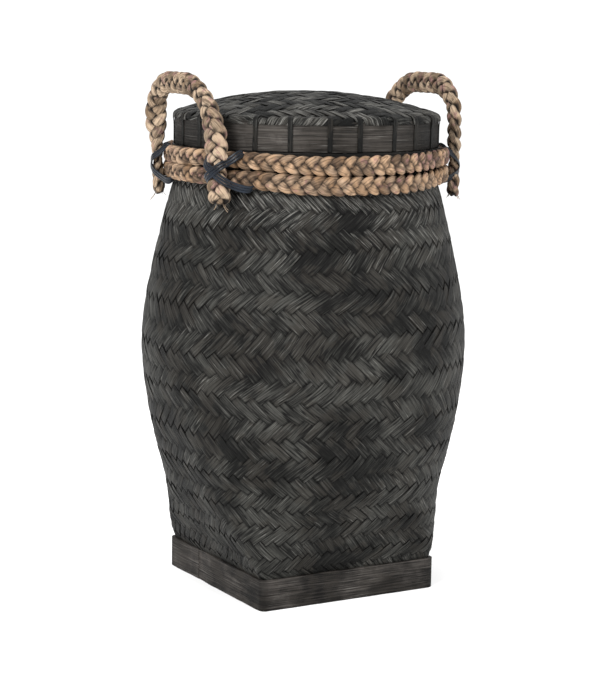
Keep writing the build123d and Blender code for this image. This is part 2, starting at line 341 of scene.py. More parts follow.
class WallForm:
    """The middle of the wall: half width and straight run of the CAD wall's rounded square by height.

    A crossing of strips is (a, b): b is constant along a rising strip and a along a falling one. The share
    of the way round is (a + b) / 2N and the rise is (a - b) / 2N, where the rise grows by slope / girth
    along the wall.
    """

    def __init__(self, sizes):
        points = node_points("woven_wall")
        heights, at, counts = np.unique(np.round(points[:, 2], 4), return_inverse=True, return_counts=True)
        half = np.zeros(len(heights))
        diagonal = np.zeros(len(heights))
        np.maximum.at(half, at, points[:, 0])
        np.maximum.at(diagonal, at, (points[:, 0] + points[:, 1]) / math.sqrt(2))
        whole = counts >= 0.3 * counts.max()
        flat = (diagonal - half) / (math.sqrt(2) - 1)
        self.contrast, self.dive = 1.0, 0.24
        self.count = sizes.wall_strips
        self.looseness = sizes.looseness
        self.z = np.linspace(heights[0] + sizes.wall_start, heights[-1], 600)
        inset = (half.max() - corner_box("woven_wall")[1][0]) + sizes.wall_inset
        self.half = smoothed(np.interp(self.z, heights[whole], half[whole])) - inset
        self.flat = np.minimum(smoothed(np.interp(self.z, heights[whole], flat[whole])), 0.96 * self.half)
        girth = 8 * self.flat + TURN * (self.half - self.flat)
        grow = np.hypot(np.gradient(self.half, self.z), 1.0) * sizes.strip_slope / girth
        self.rise = running((grow[1:] + grow[:-1]) / 2 * np.diff(self.z))
        self.levels = 2 * self.count * self.rise[-1]

    def place(self, share, rise):
        """The point of the middle surface at a share of the way round and a rise."""
        z = np.interp(rise, self.rise, self.z)
        half = np.interp(z, self.z, self.half)
        flat = np.interp(z, self.z, self.flat)
        x, y = rounded_square(np.mod(share, 1.0), half, flat)
        return np.stack([x, y, z], axis=-1)

    def surface(self, a, b, height):
        """The point at crossing (a, b), height out from the middle; slow waves keep the rows uneven."""
        share = (a + b) / (2 * self.count)
        rise = (a - b) / (2 * self.count)
        drift = self.looseness / (2 * self.count)
        wave = np.sin(TURN * (2 * share + 9 * rise)) + 0.7 * np.sin(TURN * (5 * share - 7 * rise) + 1.3)
        sway = np.sin(TURN * (3 * share + 11 * rise) + 0.6)
        sway = sway + 0.6 * np.sin(TURN * (7 * share + 5 * rise) + 2.1)
        inner = np.clip(rise / self.rise[-1], 0, 1)
        share = share + drift * sway
        rise = rise + drift * wave * 4 * inner * (1 - inner)
        step = 1e-4
        level = np.clip(rise, step, self.rise[-1] - step)
        east = self.place(share + step, level) - self.place(share - step, level)
        north = self.place(share, level + step) - self.place(share, level - step)
        return self.place(share, rise) + unit(np.cross(east, north)) * height[..., None]

    def limit(self):
        """A b past every strip: the wall runs all the way round."""
        return 1e6


def smoothed(values, window=31):
    """Values with a moving mean, their ends held."""
    padded = np.pad(values, window // 2, mode="edge")
    return np.convolve(padded, np.hanning(window + 2)[1:-1] / np.hanning(window + 2).sum(), mode="valid")


class DomeForm:
    """The middle of the lid's weave: the distance out of a flat crossing (a, b) is laid over a profile.

    The profile's slope angle grows evenly over the dome, then fast round the lip, and stays upright below it.
    """

    def __init__(self, sizes):
        low, high = corner_box("lid_weave")
        self.strip = sizes.lid_strip
        self.turn = sizes.lid_turn
        self.relief = sizes.lid_relief
        self.contrast, self.dive = 4.0, 0.6
        self.middle = self.relief * (sizes.strip_thickness / 2 + sizes.wave_height)
        rim = corner_box("lid_hoop")[1][0] - 0.4 * MM - sizes.lid_lip
        rise = high[2] - low[2] - 2.5 * self.middle
        ball = (rim**2 + rise**2) / (2 * rise)
        edge = math.asin(rim / ball)
        marks = np.cumsum([0, ball * edge, sizes.lid_lip * (math.pi / 2 - edge), sizes.lid_skirt])
        self.reach = np.linspace(0, marks[-1], 900)
        slope = np.interp(self.reach, marks, [0, edge, math.pi / 2, math.pi / 2])
        step = self.reach[1]
        self.out = running(np.cos(slope[1:]) * step)
        self.z = high[2] - self.middle - running(np.sin(slope[1:]) * step)
        self.slope = slope

    def profile(self, reach, lift):
        """Distance from the axis and height of the point at a reach, lift out from the weave's middle."""
        slope = np.interp(reach, self.reach, self.slope)
        out = np.interp(reach, self.reach, self.out) + lift * np.sin(slope)
        return out, np.interp(reach, self.reach, self.z) + lift * np.cos(slope)

    def surface(self, a, b, height):
        """The point of crossing (a, b), height out from the middle of the weave."""
        x, y = a * self.strip, b * self.strip
        reach = np.maximum(np.hypot(x, y), 1e-9)
        out, z = self.profile(reach, self.relief * height)
        return turned(np.stack([x / reach * out, y / reach * out, z], axis=-1), self.turn)

    def half_length(self, b):
        """Half the length of a strip at b: a chord of the whole profile's circle."""
        return np.sqrt(np.maximum(self.reach[-1] ** 2 - (b * self.strip) ** 2, 0)) / self.strip

    def limit(self):
        """The largest b inside the circle."""
        return self.reach[-1] / self.strip - 0.02


class FloorForm:
    """The middle of the floor panel: a level square, its strips laid corner to corner."""

    def __init__(self, sizes):
        low, high = corner_box("woven_floor")
        self.contrast, self.dive = 1.0, 0.24
        self.strip = sizes.floor_strip
        self.half = high[0] - 1.5 * MM
        self.z = (low[2] + high[2]) / 2

    def surface(self, a, b, height):
        """The point of crossing (a, b), height above the middle of the panel."""
        flat = np.stack([a * self.strip, b * self.strip, self.z + height], axis=-1)
        return turned(flat, math.pi / 4)

    def half_length(self, b):
        """Half the length of a strip at b, from side to side of the square."""
        return math.sqrt(2) * self.half / self.strip - np.abs(b)

    def limit(self):
        """The largest b inside the square."""
        return math.sqrt(2) * self.half / self.strip - 0.3


def weave_strip(form, sizes, rising, index, start, end, samples):
    """One strip of a twill: an eight-point flat section along the strip, lifted and sunk by the weave.

    Along the strip, its middle is up over three crossings and down under three, with short sine ramps. start
    and end are the strip's ends for an across position. Each float has its own tilt and tone.
    """
    lean = 2 * chance(index, rising, 3) - 1
    half = sizes.strip_fill / 2 * (0.98 + 0.04 * chance(index, rising, 7))
    thick = sizes.strip_thickness / 2
    across = half * np.array([-1, -0.88, 0.88, 1, 1, 0.88, -0.88, -1])
    rise = thick * np.array([0.35, 1, 1, 0.35, -0.35, -1, -1, -0.35])
    b = np.clip(index + sizes.strip_drift * lean + across, -form.limit(), form.limit())
    share = np.linspace(0, 1, samples)[:, None]
    first, last = start(b), end(b)
    along = first + (last - first) * share
    level = along - index + 0.5 if rising else index - along - 2.5
    beat = np.mod(level, 2 * TWILL)
    over = np.minimum(beat, TWILL - beat)
    under = np.minimum(beat - TWILL, 2 * TWILL - beat)
    inside = np.where(beat < TWILL, over, -under)
    wave = np.sin(math.pi / 2 * np.clip(inside / sizes.ramp, -1, 1))
    number = np.floor(level / TWILL)
    tilt = (chance(index, number, 11 + rising) - 0.5) * 2 * sizes.float_tilt * np.abs(wave)
    bulge = sizes.float_bulge * np.sin(math.pi / TWILL * np.mod(level, TWILL)) * np.sign(inside)
    height = wave * sizes.wave_height + bulge + rise + tilt * across / half
    b = np.broadcast_to(b, along.shape)
    points = form.surface(along, b, height) if rising else form.surface(b, along, height)
    lengths = path_lengths(points[:, 1])
    width = np.linalg.norm(points[:, 3] - points[:, 0], axis=1).mean()
    tone = 0.5 + form.contrast * (chance(index, number, 5 + rising) - 0.5)
    # Painted shade: each float's outer edges get a random depth of it, and the whole strip darkens where it
    # dives.
    edge = 0.02 + 0.48 * chance(index, number, np.where(across > 0, 17, 19) + rising)
    painted_lightness = np.clip(np.abs(inside) / form.dive, 0, 1) * np.where(np.abs(across) < half, 1.0, edge)
    mark = np.concatenate([across, across[:1]]) / (2 * half) * width + index * 17 * MM
    return Shell(points, lengths[:, None] + index * 0.37, mark, tone, painted_lightness)


def weave_sheet(form, sizes, rising):
    """All the strips of one direction of a flat twill, each as long as its sheet is there."""
    edge = int(form.limit() + 0.4)
    start, end = lambda b: -form.half_length(b), form.half_length
    shells = []
    for index in range(-edge, edge + 1):
        samples = max(4, int(2 * form.half_length(abs(index) - 0.3) * sizes.steps) + 1)
        shells.append(weave_strip(form, sizes, rising, index, start, end, samples))
    return shells


def braid(path, out, phase, sizes, scale, ring=False, taper=1.0, seed=0):
    """Three strands along a path: each swings across by A sin(p) and in and out by B sin(2p), a third apart.

    A strand's section is a boxy oval with shallow ridges that twist along it. Its painted lightness is 0
    where a point touches another strand's oval and 1 at a little distance from both, so painted shade fills
    the creases.
    """
    heading = path_headings(path, ring)
    side = unit(np.cross(out, heading))
    swing, dip, wide, deep = sizes
    rate = np.diff(phase).mean() / np.diff(path_lengths(path)).mean()
    round_ = np.linspace(0, TURN, 29)
    spots = round_[:-1]
    over, up = np.cos(spots), np.sin(spots)
    shells = []
    for strand in range(3):
        turn = phase + TURN * strand / 3
        lobe = np.floor((turn + math.pi / 2) / math.pi)
        lobe_key = np.mod(lobe, np.max(lobe) - np.min(lobe)) if ring else lobe
        swell = 1 + 0.22 * (chance(lobe_key, strand, seed) - 0.5) * np.abs(np.cos(turn))
        sway, depth = swing * scale * np.sin(turn), dip * scale * np.sin(2 * turn)
        centre = path + side * sway[:, None] + out * depth[:, None]
        strand_heading = path_headings(centre, ring)
        strand_side = unit(np.cross(out, strand_heading))
        strand_out = np.cross(strand_heading, strand_side)
        lengths = path_lengths(centre, ring)
        run = lengths[: len(centre), None]
        ridge = 0.045 * np.cos(5 * spots + 150 * run)
        ridge = ridge + 0.035 * np.cos(9 * spots - 110 * run + strand)
        if ring:
            ridge = ridge * ease(0, 0.04, run) * ease(0, 0.04, lengths[-1] - run)
        size = (swell * scale * taper)[:, None]
        wide_at = wide * size * (1 + ridge) * np.sign(over) * np.abs(over) ** BOXY
        deep_at = deep * size * (1 + ridge) * np.sign(up) * np.abs(up) ** BOXY
        points = section_points(centre, strand_side, strand_out, wide_at, deep_at)
        off = points - path[:, None]
        far, high, ahead = (np.einsum("mkj,mj->mk", off, axis) for axis in (side, out, heading))
        gap = np.full(far.shape, wide)
        for other in (1, 2):
            there = turn[:, None] + TURN * other / 3 + rate * ahead
            stretch = np.hypot(1, swing * rate * np.cos(there))
            x = (far - swing * scale[:, None] * np.sin(there)) / (wide * stretch * scale[:, None])
            y = (high - dip * scale[:, None] * np.sin(2 * there)) / (deep * scale[:, None])
            gap = np.minimum(gap, (np.hypot(x, y) - 1) * deep)
        tone = chance(lobe_key, strand + 5, seed)[:, None]
        along = lengths[:, None] + 0.7 * strand
        around = round_ * wide + strand * 0.2
        # Painted shade in the creases: darkest where this strand touches another, fading over a short
        # distance.
        shells.append(Shell(points, along, around, tone, ease(0, SHADE_FADE, gap), ring))
    return shells


class Value:
    """A shader socket that can stand in sums: each operator adds one Math node beside it."""

    def __init__(self, finish, socket):
        self.finish = finish
        self.socket = socket

    def sum(self, operation, first, second):
        """One Math node."""
        return self.finish.node("ShaderNodeMath", {"operation": operation}, {0: first, 1: second})

    def __add__(self, other):
        return self.sum("ADD", self, other)

    def __radd__(self, other):
        return self.sum("ADD", other, self)

    def __sub__(self, other):
        return self.sum("SUBTRACT", self, other)

    def __rsub__(self, other):
        return self.sum("SUBTRACT", other, self)

    def __mul__(self, other):
        return self.sum("MULTIPLY", self, other)

    def __rmul__(self, other):
        return self.sum("MULTIPLY", other, self)


class Finish:
    """A material that is built up from nodes."""

    def __init__(self, name):
        self.material = bpy.data.materials.new(name)
        self.material.use_nodes = True
        self.tree = self.material.node_tree
        self.shader = self.tree.nodes["Principled BSDF"]

    def node(self, kind, settings=None, sockets=None, output=0):
        """A node: its settings first, then its sockets' values or links. Returns one of its outputs."""
        node = self.tree.nodes.new(kind)
        for name, value in (settings or {}).items():
            setattr(node, name, value)
        for name, value in (sockets or {}).items():
            self.feed(node.inputs[name], value)
        return Value(self, node.outputs[output])

    def feed(self, socket, value):
        """Links a value to a socket, or sets the socket's own number or colour."""
        if isinstance(value, Value):
            self.tree.links.new(value.socket, socket)
        else:
            socket.default_value = value

    def set(self, **sockets):
        """Sets sockets of the shader, named with underscores for spaces."""
        for name, value in sockets.items():
            self.feed(self.shader.inputs[name.replace("_", " ")], value)

    def marks(self):
        """The piece's own UVs in metres: along the strip, and across it."""
        split = self.node("ShaderNodeSeparateXYZ", {}, {0: self.node("ShaderNodeUVMap", {"uv_map": "UVMap"})})
        return split, Value(self, split.socket.node.outputs[1])

    def value(self, name):
        """A value stored on the piece's points."""
        return self.node("ShaderNodeAttribute", {"attribute_name": name}, {}, output=2)

    def noise(self, x, y, z, detail=3.0, roughness=0.55):
        """Cloudy noise of three coordinates, about 0.5."""
        place = self.node("ShaderNodeCombineXYZ", {}, {0: x, 1: y, 2: z})
        sockets = {0: place, "Scale": 1.0, "Detail": detail, "Roughness": roughness}
        return self.node("ShaderNodeTexNoise", {}, sockets)

    def space(self):
        """The object's own coordinates."""
        return self.node("ShaderNodeTexCoord", {}, {}, output=3)

    def clouds(self, scale):
        """Cloudy noise in the object's space, scale to the metre."""
        return self.node("ShaderNodeTexNoise", {}, {0: self.space(), "Scale": scale, "Detail": 3.0})

    def place(self):
        """The object's own x and z."""
        split = self.node("ShaderNodeSeparateXYZ", {}, {0: self.space()})
        return split, Value(self, split.socket.node.outputs[2])

    def size(self, value):
        """A value without its sign."""
        return self.node("ShaderNodeMath", {"operation": "ABSOLUTE"}, {0: value})

    def spread(self, value, low, high):
        """A smooth rise of a value from 0 at low to 1 at high."""
        settings = {"interpolation_type": "SMOOTHSTEP"}
        return self.node("ShaderNodeMapRange", settings, {0: value, 1: low, 2: high})

    def mix(self, share, first, second):
        """Two colours mixed by a share; a plain colour gets full cover."""
        first, second = (each if isinstance(each, Value) else (*each, 1.0) for each in (first, second))
        return self.node("ShaderNodeMix", {"data_type": "RGBA"}, {0: share, 6: first, 7: second}, output=2)

    def bump(self, height, strength, distance):
        """A normal that follows a height."""
        sockets = {"Height": height, "Strength": strength, "Distance": distance}
        return self.node("ShaderNodeBump", {}, sockets)


def stained_bamboo(name, dark, light, colours, fibre_length, fibre_width, gloss, cracks=0.85, upper_light_strength=0.0):
    """Black stained bamboo: lengthwise fibres and splits, cloudy stain, pale streaks that are both rubbed
    fibres and painted sheen, and painted shade at the edges.

    The last argument adds painted light to the pale streaks from the shoulder up.
    """
    finish = Finish(name)
    along, across = finish.marks()
    tone = finish.value("tone")
    painted_lightness = finish.value("painted_lightness")

    def grain(long, wide, layer, **settings):
        """Noise drawn out along the fibres, long and wide times as dense as they are."""
        return finish.noise(along * (long / fibre_length), across * (wide / fibre_width), layer, **settings)

    lines = grain(1, 1, 0.0, detail=4.0, roughness=0.65)
    fine = grain(2.2, 2.4, 3.0, detail=2.0)
    split = grain(0.5, 0.45, 7.0, detail=1.0)
    patch = finish.spread(finish.clouds(16.0), 0.38, 0.62)
    blotch = finish.spread(finish.clouds(48.0), 0.36, 0.64)
    fibre = finish.spread(lines * 0.65 + fine * 0.35, 0.36, 0.66)
    depth = fibre * 0.48 + patch * 0.3 + blotch * 0.2 + tone * 0.16
    colour = finish.mix(finish.spread(depth, 0.2, 1.02), dark, light)
    brown = finish.spread(blotch + tone * 0.5 - patch * 0.3, 0.5, 1.0) * 0.5
    colour = finish.mix(brown, colour, colours.stain_brown)
    # Painted light: the pale streaks grow from the shoulder up.
    painted_upper_light = finish.spread(finish.place()[1], UPPER_LIGHT_LOW, UPPER_LIGHT_HIGH) * upper_light_strength
    streaks = finish.spread(lines * 0.5 + fine * 0.5 + painted_upper_light * 0.075, 0.56, 0.67)
    # The pale streaks are rubbed fibres and also painted sheen.
    rubbed_and_sheen = streaks * finish.spread(tone + patch * 0.6 + painted_upper_light * 0.6, 0.45, 1.2)
    colour = finish.mix(rubbed_and_sheen * 0.85, colour, colours.stain_rubbed_and_sheen)
    crack = 1 - finish.spread(finish.size(split - 0.5), 0.006, 0.05)
    colour = finish.mix(crack * cracks, colour, colours.split_and_painted_shade)
    # Painted shade where the painted lightness is below 1: strip edges and dives, the neck hoop, the lid hoop
    # away from its painted highlight, and the darker foot.
    colour = finish.mix((1 - painted_lightness) * 0.92, colour, colours.split_and_painted_shade)
    finish.set(Base_Color=colour, Roughness=0.45 + 0.3 * fine, Specular_IOR_Level=gloss)
    finish.set(Normal=finish.bump(fibre - crack * 0.4, 0.8, 0.35 * MM))
    return finish.material


def braided_rope(name, base, pale, gold, rosy, colours):
    """Dried grass rope: fibres along each strand, toned lobes, painted brown shade in the creases, golden and
    rosy spots.
    """
    finish = Finish(name)
    along, across = finish.marks()
    tone = finish.value("tone")
    painted_lightness = finish.value("painted_lightness")
    lines = finish.noise(along * 60.0, across * 620.0 - along * 50.0, 0.0, detail=3.0, roughness=0.65)
    fine = finish.noise(along * 120.0, across * 1700.0 - along * 90.0, 3.0, detail=2.0)
    fold = finish.noise(along * 45.0, across * 190.0 + along * 40.0, 7.0, detail=1.0)
    patch = finish.clouds(24.0)
    spot = finish.clouds(130.0)
    bleached = finish.spread(lines * 0.8 + tone * 0.5 + patch * 0.35, 0.5, 1.12)
    colour = finish.mix(bleached, base, pale)
    golden = finish.spread(finish.clouds(55.0) + tone * 0.15, 0.5, 0.68) * gold
    colour = finish.mix(golden, colour, colours.rope_gold)
    x, z = finish.place()
    reddened = finish.spread(x, 0.0, 0.13) * finish.spread(z, ROSY_LOW, ROSY_HIGH) * rosy
    blush = spot + patch * 0.5 + reddened
    colour = finish.mix(finish.spread(blush, 0.82, 0.98) * 0.6, colour, colours.rope_rosy)
    shaded = finish.spread(fine * 0.6 + lines * 0.4, 0.56, 0.7) * 0.45
    colour = finish.mix(shaded, colour, colours.rope_line)
    seam = 1 - finish.spread(finish.size(fold - 0.5), 0.006, 0.045)
    colour = finish.mix(seam * 0.6, colour, colours.rope_line)
    # Painted shade in the creases where strands touch.
    colour = finish.mix(1 - painted_lightness, colour, colours.rope_painted_shade)
    finish.set(Base_Color=colour, Roughness=0.6 + 0.25 * lines, Specular_IOR_Level=0.2)
    finish.set(Normal=finish.bump(lines * 0.6 + fine * 0.3 - seam * 0.3, 0.8, 1.0 * MM))
    return finish.material


def tie_strip(name, colours):
    """Blue-black satin strip with faint lengthwise lines and paler worn patches."""
    finish = Finish(name)
    along, across = finish.marks()
    tone = finish.value("tone")
    lines = finish.noise(along * 30.0, across * 2600.0, tone * 6)
    patch = finish.clouds(60.0)
    wear_and_painted_light = finish.spread(lines * 0.6 + patch * 0.5, 0.4, 0.75)
    colour = finish.mix(wear_and_painted_light, colours.tie_dark, colours.tie_light)
    finish.set(Base_Color=colour, Roughness=0.24 + 0.2 * lines, Specular_IOR_Level=0.2)
    finish.set(Normal=finish.bump(lines, 0.3, 0.3 * MM))
    return finish.material


def studio_floor(name, colours):
    """Pale matt floor with a very faint cloudiness."""
    finish = Finish(name)
    cloud = finish.clouds(1.5)
    finish.set(Base_Color=finish.mix(cloud, colours.floor, [0.97 * c for c in colours.floor]))
    finish.set(Roughness=0.85 + 0.1 * cloud, Specular_IOR_Level=0.1)
    return finish.material


def finish_of(slot):
    """The material of a slot, made when it is first asked for."""
    name = f"{slot}_finish"
    if name in bpy.data.materials:
        return bpy.data.materials[name]
    colours = bpy.context.scene.basket.colours
    makers = {
        "woven_bamboo": lambda: stained_bamboo(
            name, colours.stain_dark, colours.stain_light, colours, 40 * MM, 1.8 * MM, 0.09, upper_light_strength=1.0
        ),
        "bamboo_slat": lambda: stained_bamboo(
            name, colours.slat_dark, colours.slat_light, colours, 70 * MM, 1.3 * MM, 0.09, cracks=0.55
        ),
        "binding_strip": lambda: stained_bamboo(
            name, colours.stain_dark, colours.binding_light, colours, 20 * MM, 1.2 * MM, 0.1
        ),
        "neck_rope": lambda: braided_rope(
            name, colours.ring_base, colours.ring_pale, 0.4, 0.17, colours
        ),
        "handle_rope": lambda: braided_rope(
            name, colours.handle_base, colours.handle_pale, 0.12, 0.03, colours
        ),
        "tie_strip": lambda: tie_strip(name, colours),
        "studio_floor": lambda: studio_floor(name, colours),
    }
    return makers[slot]()


def length(name, description, default):
    """A size in metres."""
    return bpy.props.FloatProperty(
        name=name, description=description, default=default, unit="LENGTH", precision=5
    )


def number(name, description, default):
    """A plain number."""
    return bpy.props.FloatProperty(name=name, description=description, default=default, precision=3)


def rotation(name, description, degrees):
    """An angle, given in degrees."""
    return bpy.props.FloatProperty(
        name=name, description=description, default=math.radians(degrees), unit="ROTATION"
    )


def whole(name, description, default):
    """A count."""
    return bpy.props.IntProperty(name=name, description=description, default=default)


def group(kind, name, description):
    """The settings of one kind."""
    return bpy.props.PointerProperty(type=kind, name=name, description=description)


def colour(name, description, default):
    """A linear colour."""
    return bpy.props.FloatVectorProperty(
        name=name, description=description, default=default, subtype="COLOR", size=3, min=0.0, max=1.0
    )


class WeaveSizes(bpy.types.PropertyGroup):
    """Sizes of the strips and of how they cross."""

    wall_strips: whole("Wall Strips", "Strips each way round the wall", 70)
    wall_inset: length("Wall Inset", "Depth of the weave's middle below the CAD face", 1.5 * MM)
    wall_start: length("Wall Start", "Height of the lowest strip ends above the wall's foot", 3 * MM)
    strip_slope: number("Strip Slope", "Sideways run of a strip for each unit up the wall", 1.03)
    strip_fill: number("Strip Fill", "Share of its room that a strip takes", 1.04)
    strip_drift: number("Strip Drift", "How far a strip may lie from its place, in strip widths", 0.015)
    strip_thickness: length("Strip Thickness", "Thickness of a strip", 0.85 * MM)
    wave_height: length("Wave Height", "Rise and fall of a strip about the middle of the weave", 0.8 * MM)
    float_bulge: length("Float Bulge", "Arching of a strip between crossings", 0.25 * MM)
    float_tilt: length("Float Tilt", "Largest lift of one edge of a float", 0.55 * MM)
    ramp: number("Ramp", "Length of a dive, in strip widths", 0.3)
    steps: number("Steps", "Sections for each strip width along a strip", 4.0)
    looseness: number("Looseness", "Waviness of the rows, in strip widths", 0.3)
    lid_strip: length("Lid Strip", "Room of one strip on the lid", 9.4 * MM)
    lid_relief: number("Lid Relief", "Depth of the lid's weave against the wall's", 1.4)
    lid_turn: rotation("Lid Turn", "Direction of the lid's strips", -75)
    lid_lip: length("Lid Lip", "Radius of the lid's rolled edge", 3.6 * MM)
    lid_skirt: length("Lid Skirt", "Upright edge below the roll", 2.4 * MM)
    floor_strip: length("Floor Strip", "Room of one strip on the floor panel", 10 * MM)


class RopeSizes(bpy.types.PropertyGroup):
    """Sizes of the braids and ties."""

    ring_turns: whole("Ring Turns", "Braid periods round the neck", 24)
    ring_swing: length("Ring Swing", "Sideways swing of a ring's strands", 4.4 * MM)
    ring_dip: length("Ring Dip", "In and out swing of a ring's strands", 2.3 * MM)
    ring_wide: length("Ring Strand Width", "Half width of a ring's strand", 4.9 * MM)
    ring_deep: length("Ring Strand Depth", "Half depth of a ring's strand", 3.3 * MM)
    sag: length("Sag", "Droop of the rings between the legs", 5.0 * MM)
    press: length("Press", "How far a tie presses its leg into the rings", 3.0 * MM)
    sag_place: rotation("Sag Place", "Where the rings droop most", -95)
    handle_pitch: length("Handle Pitch", "Length of one braid period of a handle", 40 * MM)
    handle_swing: length("Handle Swing", "Sideways swing of a handle's strands", 7.2 * MM)
    handle_dip: length("Handle Dip", "In and out swing of a handle's strands", 2.6 * MM)
    handle_wide: length("Handle Strand Width", "Half width of a handle's strand", 6.6 * MM)
    handle_deep: length("Handle Strand Depth", "Half depth of a handle's strand", 4.2 * MM)
    handle_width: length("Handle Width", "Width of the handle in its plane", 27 * MM)
    handle_lean: rotation("Left Lean", "Outward lean of the left handle", 3.5)
    right_lean: rotation("Right Lean", "Outward lean of the right handle", 0.5)
    leg_angle: rotation("Leg Angle", "Place of a leg round the neck", 25)
    rear_twist: rotation("Rear Twist", "Twist of the left handle's rear leg", 48)
    first_shoulder: number("First Shoulder", "Size of a handle's first bend against its second", 0.6)
    arch_flat: length("Arch Flat", "Straight run at the top of an even handle", 12 * MM)
    tie_width: length("Tie Width", "Width of one tie strip", 2.7 * MM)
    tie_thickness: length("Tie Thickness", "Thickness of one tie strip", 1.1 * MM)
    binding_width: length("Binding Width", "Width of one lid binding", 5.6 * MM)
    binding_thickness: length("Binding Thickness", "Thickness of one lid binding", 0.8 * MM)
    binding_count: whole("Bindings", "Bindings round the lid", 24)


class BasketColours(bpy.types.PropertyGroup):
    """Linear colours of the finishes."""

    stain_dark: colour("Stain Dark", "Deep black stain", (0.0022, 0.0022, 0.0019))
    stain_light: colour("Stain Light", "Thin stain over bamboo", (0.046, 0.0455, 0.041))
    stain_brown: colour("Stain Brown", "Brown showing through", (0.015, 0.0125, 0.0098))
    # Pale streaks: rubbed fibres, and also painted sheen.
    stain_rubbed_and_sheen: colour("Stain Rubbed", "Fibres rubbed pale", (0.15, 0.147, 0.136))
    binding_light: colour("Binding Light", "Thin stain over the lid's bindings", (0.013, 0.013, 0.012))
    # The dark of the bamboo's splits, and the colour of painted shade at strip edges and dives.
    split_and_painted_shade: colour("Stain Gap", "Dark edges and gaps", (0.0006, 0.0006, 0.0006))
    slat_dark: colour("Slat Dark", "Dark grain of the slats", (0.0035, 0.003, 0.0026))
    slat_light: colour("Slat Light", "Light grain of the slats", (0.08, 0.071, 0.064))
    ring_base: colour("Ring Base", "Darker strands of the rings", (0.062, 0.036, 0.020))
    ring_pale: colour("Ring Pale", "Paler strands of the rings", (0.345, 0.240, 0.160))
    handle_base: colour("Handle Base", "Darker strands of the handles", (0.080, 0.053, 0.031))
    handle_pale: colour("Handle Pale", "Paler strands of the handles", (0.345, 0.262, 0.184))
    rope_line: colour("Rope Line", "Lines between fibres", (0.026, 0.0135, 0.0065))
    rope_gold: colour("Rope Gold", "Orange-brown strands", (0.33, 0.192, 0.098))
    rope_rosy: colour("Rope Rosy", "Rosy spots", (0.20, 0.095, 0.098))
    # Colour of the painted shade in the rope's creases.
    rope_painted_shade: colour("Rope Crease", "Brown creases", (0.0035, 0.0018, 0.0009))
    tie_dark: colour("Tie Dark", "Blue-black strip", (0.0010, 0.0016, 0.0028))
    tie_light: colour("Tie Light", "Worn strip", (0.006, 0.0105, 0.0185))
    floor: colour("Floor", "Pale floor", (0.95, 0.95, 0.95))


class StageSizes(bpy.types.PropertyGroup):
    """Camera and lights."""

    azimuth: rotation("Azimuth", "Camera's turn round the basket", -30.1)
    elevation: rotation("Elevation", "Camera's height angle", 9.28)
    roll: rotation("Roll", "Camera's turn about its view", 0.9)
    distance: length("Distance", "Camera's distance from its target", 2.308)
    target_side: length("Target Side", "Target's place to the camera's right", -3.3 * MM)
    target_height: length("Target Height", "Target's height", 262.5 * MM)
    world: number("World", "Strength of the even surrounding light", 1.1)
    key: number("Key", "Strength of the large key light", 92.0)
    fill: number("Fill", "Strength of the fill light", 52.0)
    top: number("Top", "Strength of the top light", 16.0)


class BasketSettings(bpy.types.PropertyGroup):
    """Everything a user may change."""

    weave: group(WeaveSizes, "Weave", "Sizes of the weave")
    rope: group(RopeSizes, "Rope", "Sizes of the ropes and ties")
    colours: group(BasketColours, "Colours", "Colours of the finishes")
    stage: group(StageSizes, "Stage", "Camera and lights")


class BASKET_OT_wall(bpy.types.Operator):
    """Weave the wall: rising and falling strips in a twill from the foot to the mouth"""

    bl_idname = "basket.wall"
    bl_label = "Weave Wall"

    def execute(self, context):
        sizes = context.scene.basket.weave
        form = WallForm(sizes)
        samples = int(form.levels * sizes.steps) + 1
        for rising, way in ((True, 1), (False, -1)):
            for first, half in enumerate(("odd", "even")):
                shells = []
                for index in range(first, sizes.wall_strips, 2):
                    start = lambda b, i=index: i + np.zeros_like(b)
                    end = lambda b, i=index: i + way * form.levels + np.zeros_like(b)
                    shells.append(weave_strip(form, sizes, rising, index, start, end, samples))
                name = f"wall_{'rising' if rising else 'falling'}_strips_{half}"
                piece = add_piece(name, shells, "woven_bamboo", ["woven_wall"])
                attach(piece, "basket")
        return {"FINISHED"}


class BASKET_OT_panels(bpy.types.Operator):
    """Weave the floor panel and the lid's dome"""

    bl_idname = "basket.panels"
    bl_label = "Weave Floor and Lid"

    def execute(self, context):
        sizes = context.scene.basket.weave
        forms = (
            ("floor", FloorForm(sizes), "woven_floor", "basket"),
            ("lid", DomeForm(sizes), "lid_weave", "lid"),
        )
        for name, form, node, body in forms:
            for rising, way in ((True, "long"), (False, "cross")):
                shells = weave_sheet(form, sizes, rising)
                piece = add_piece(f"{name}_{way}_strips", shells, "woven_bamboo", [node])
                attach(piece, body)
        return {"FINISHED"}


def hoop_path(outer, slat, start):
    """A round hoop's outward direction, its middle line from start to a lap past it, and its shift."""
    turn = start + np.linspace(0, TURN + HOOP_LAP / outer, HOOP_POINTS)
    out = np.stack([np.cos(turn), np.sin(turn), np.zeros(HOOP_POINTS)], axis=-1)
    shift = lap_shift(np.linspace(0, 1, HOOP_POINTS), slat, HOOP_LAP / (TURN * outer))
    return out, (outer - slat / 2) * out, shift


def lap_shift(share, slat, lap_share):
    """Outward shift along a lapped slat: in at its start and out at its end, both fading over three laps.

    At the ends it is the share LAP of the slat's thickness.
    """
    fade = 3 * lap_share
    return LAP * slat * (ease(1 - fade, 1 - lap_share, share) - 1 + ease(lap_share, fade, share))


def lap_thickness(slat, shift):
    """Half the thickness along a lapped slat, less where it is shifted."""
    return slat / 2 * (1 - LAP_THINNING * (shift / (LAP * slat)) ** 2)


